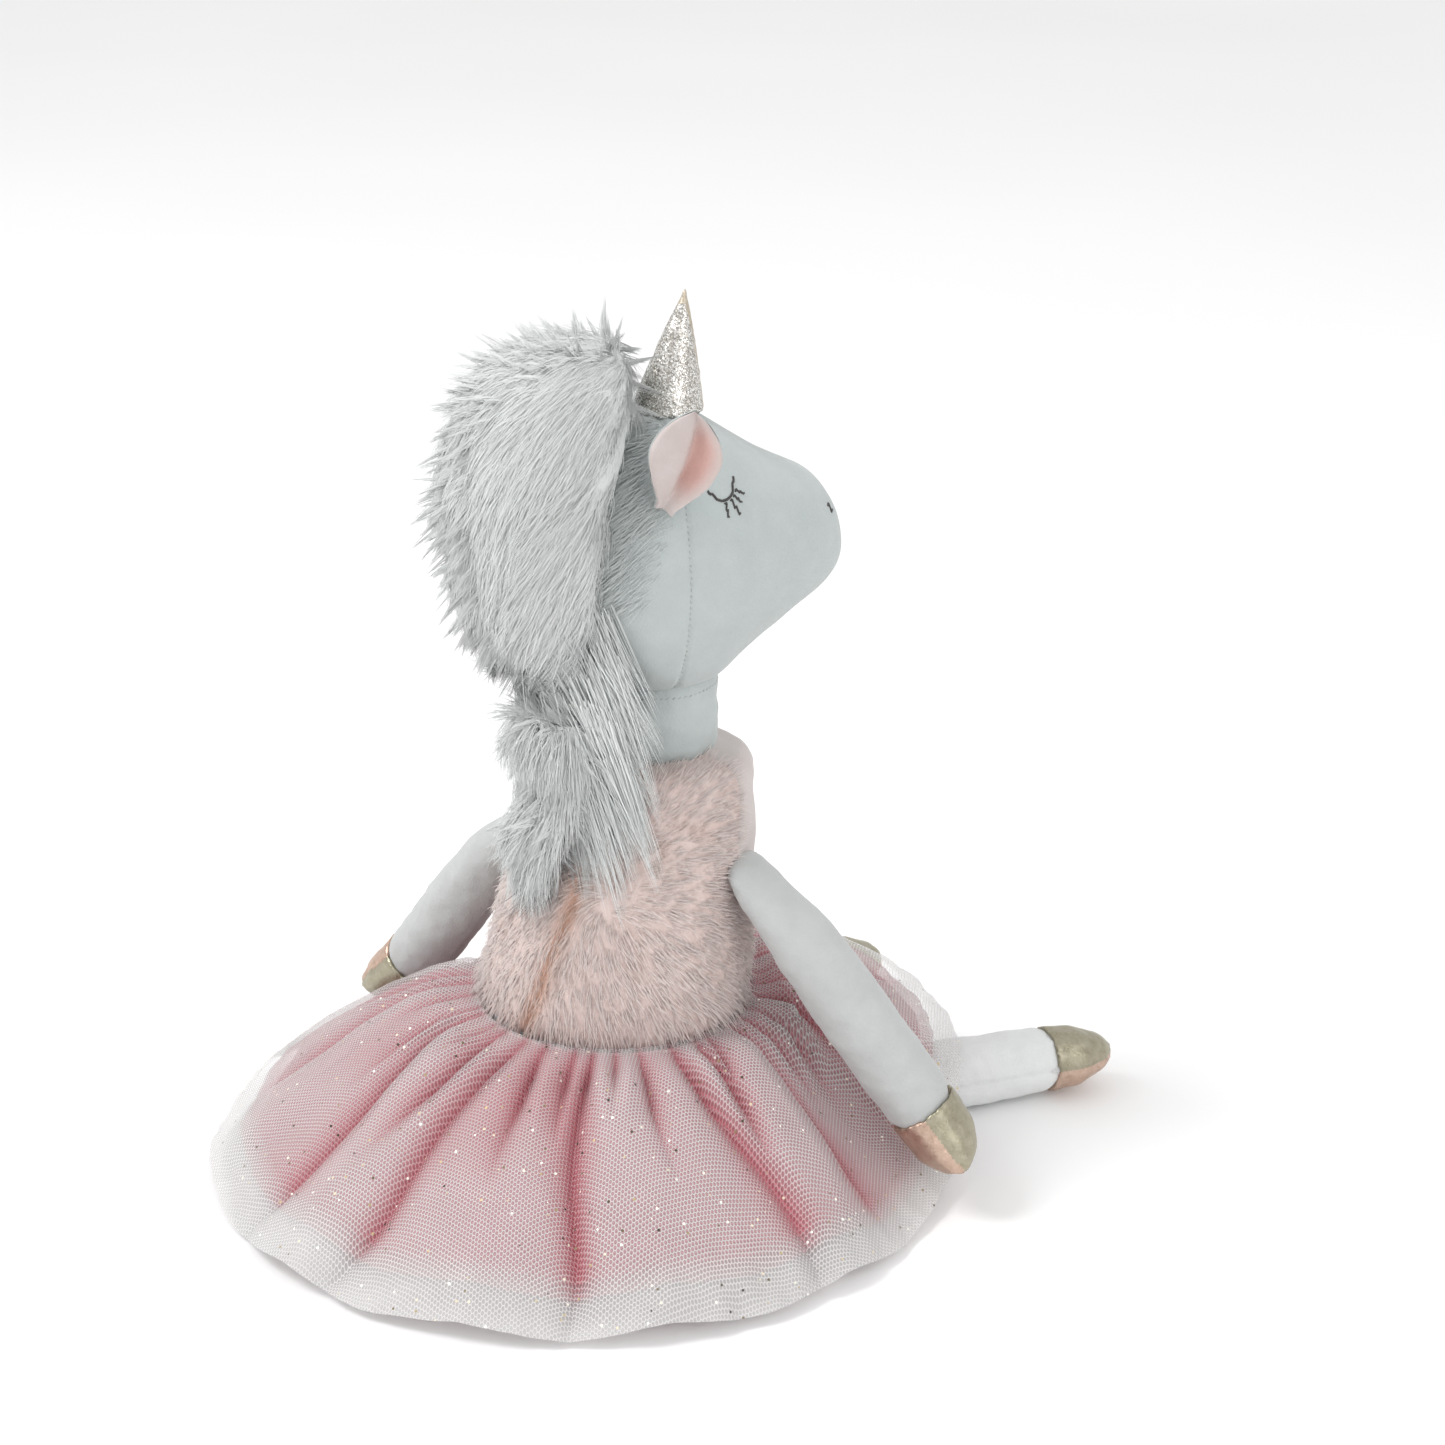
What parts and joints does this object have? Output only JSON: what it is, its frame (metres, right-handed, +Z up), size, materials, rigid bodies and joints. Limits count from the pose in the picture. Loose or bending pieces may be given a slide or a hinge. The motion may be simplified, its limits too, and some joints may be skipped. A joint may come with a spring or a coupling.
{
  "type": "plush unicorn",
  "caption": "Seated plush unicorn doll with a stuffed horn, long fur mane, fur bodice, layered gathered tutu and cloth hooves; head, neck, ears, arms and legs can be posed.",
  "frame": {"origin": "middle of the flat seat panel's underside, on the surface the doll sits on", "axes": "+Z up, the chest faces -Y, +X is the doll's left side; the head is turned to the doll's right"},
  "size_m": [0.277, 0.3109, 0.3165],
  "materials": {
    "white_plush": "matte",
    "ear_plush": "matte",
    "bodice_fur": "matte",
    "mane_fur": "matte",
    "horn_glitter": "satin",
    "hoof_gold": "satin",
    "dark_thread": "matte",
    "polyester_filling": "matte",
    "bag_cloth": "matte",
    "glitter_tulle": "matte",
    "pink_tulle": "matte",
    "pink_satin": "satin",
    "pink_elastic": "matte"
  },
  "bodies": {
    "torso": {"bean_bag": "bag_cloth", "bodice_back_left": "bodice_fur", "bodice_back_right": "bodice_fur", "bodice_front": "bodice_fur", "lower_body_cover": "white_plush", "seat_panel": "white_plush", "torso_filling": "polyester_filling", "tutu_glitter_tulle": "glitter_tulle", "tutu_pink_tulle": "pink_tulle", "tutu_satin_lining": "pink_satin", "waist_elastic": "pink_elastic"},
    "neck": {"neck_cover": "white_plush", "neck_filling": "polyester_filling", "mane_nape": "mane_fur"},
    "head": {"eye_lid_left": "dark_thread", "eye_lid_right": "dark_thread", "eyelash_left_1": "dark_thread", "eyelash_left_2": "dark_thread", "eyelash_left_3": "dark_thread", "eyelash_left_4": "dark_thread", "eyelash_right_1": "dark_thread", "eyelash_right_2": "dark_thread", "eyelash_right_3": "dark_thread", "eyelash_right_4": "dark_thread", "face_panel": "white_plush", "head_back_panel": "white_plush", "head_filling": "polyester_filling", "horn_cover": "horn_glitter", "horn_filling": "polyester_filling", "mane_crown": "mane_fur", "nostril_left": "dark_thread", "nostril_right": "dark_thread"},
    "ear_left": {"ear_back_left": "white_plush", "ear_lining_left": "ear_plush"},
    "ear_right": {"ear_back_right": "white_plush", "ear_lining_right": "ear_plush"},
    "arm_left": {"arm_cover_left": "white_plush", "arm_filling_left": "polyester_filling", "hand_hoof_inner_left": "hoof_gold", "hand_hoof_outer_left": "hoof_gold"},
    "arm_right": {"arm_cover_right": "white_plush", "arm_filling_right": "polyester_filling", "hand_hoof_inner_right": "hoof_gold", "hand_hoof_outer_right": "hoof_gold"},
    "leg_left": {"foot_hoof_bottom_left": "hoof_gold", "foot_hoof_top_left": "hoof_gold", "leg_cover_bottom_left": "white_plush", "leg_cover_top_left": "white_plush", "leg_filling_left": "polyester_filling"},
    "leg_right": {"foot_hoof_bottom_right": "hoof_gold", "foot_hoof_top_right": "hoof_gold", "leg_cover_bottom_right": "white_plush", "leg_cover_top_right": "white_plush", "leg_filling_right": "polyester_filling"}
  },
  "joints": [
    {"name": "neck_nod", "type": "hinge", "parent": "torso", "child": "neck", "pos_m": [-0.0123, -0.0086, 0.1635], "axis": [1, 0, 0], "range_deg": [-2, 16]},
    {"name": "head_turn", "type": "hinge", "parent": "neck", "child": "head", "pos_m": [-0.0123, -0.0086, 0.1838], "axis": [0, 0, 1], "range_deg": [-15, 70]},
    {"name": "ear_left_flop", "type": "hinge", "parent": "head", "child": "ear_left", "pos_m": [0.02377, -0.02226, 0.255], "axis": [0.6885, 0.7226, 0.0623], "range_deg": [-8, 14], "stiffness_Nm_per_rad": 0.01},
    {"name": "ear_right_flop", "type": "hinge", "parent": "head", "child": "ear_right", "pos_m": [-0.03747, 0.02062, 0.255], "axis": [-0.4435, -0.8941, -0.0623], "range_deg": [-8, 14], "stiffness_Nm_per_rad": 0.01},
    {"name": "arm_left_raise", "type": "hinge", "parent": "torso", "child": "arm_left", "pos_m": [0.03911, -0.00549, 0.124], "axis": [-0.1564, -0.9877, 0], "range_deg": [0, 110]},
    {"name": "arm_right_raise", "type": "hinge", "parent": "torso", "child": "arm_right", "pos_m": [-0.05481, -0.00549, 0.124], "axis": [-0.4067, 0.9135, 0], "range_deg": [0, 110]},
    {"name": "leg_left_swing", "type": "hinge", "parent": "torso", "child": "leg_left", "pos_m": [0.03745, -0.03585, 0.0139], "axis": [0, 0, 1], "range_deg": [-5, 15]},
    {"name": "leg_right_swing", "type": "hinge", "parent": "torso", "child": "leg_right", "pos_m": [-0.03745, -0.03585, 0.0139], "axis": [0, 0, 1], "range_deg": [-4, 18]}
  ]
}
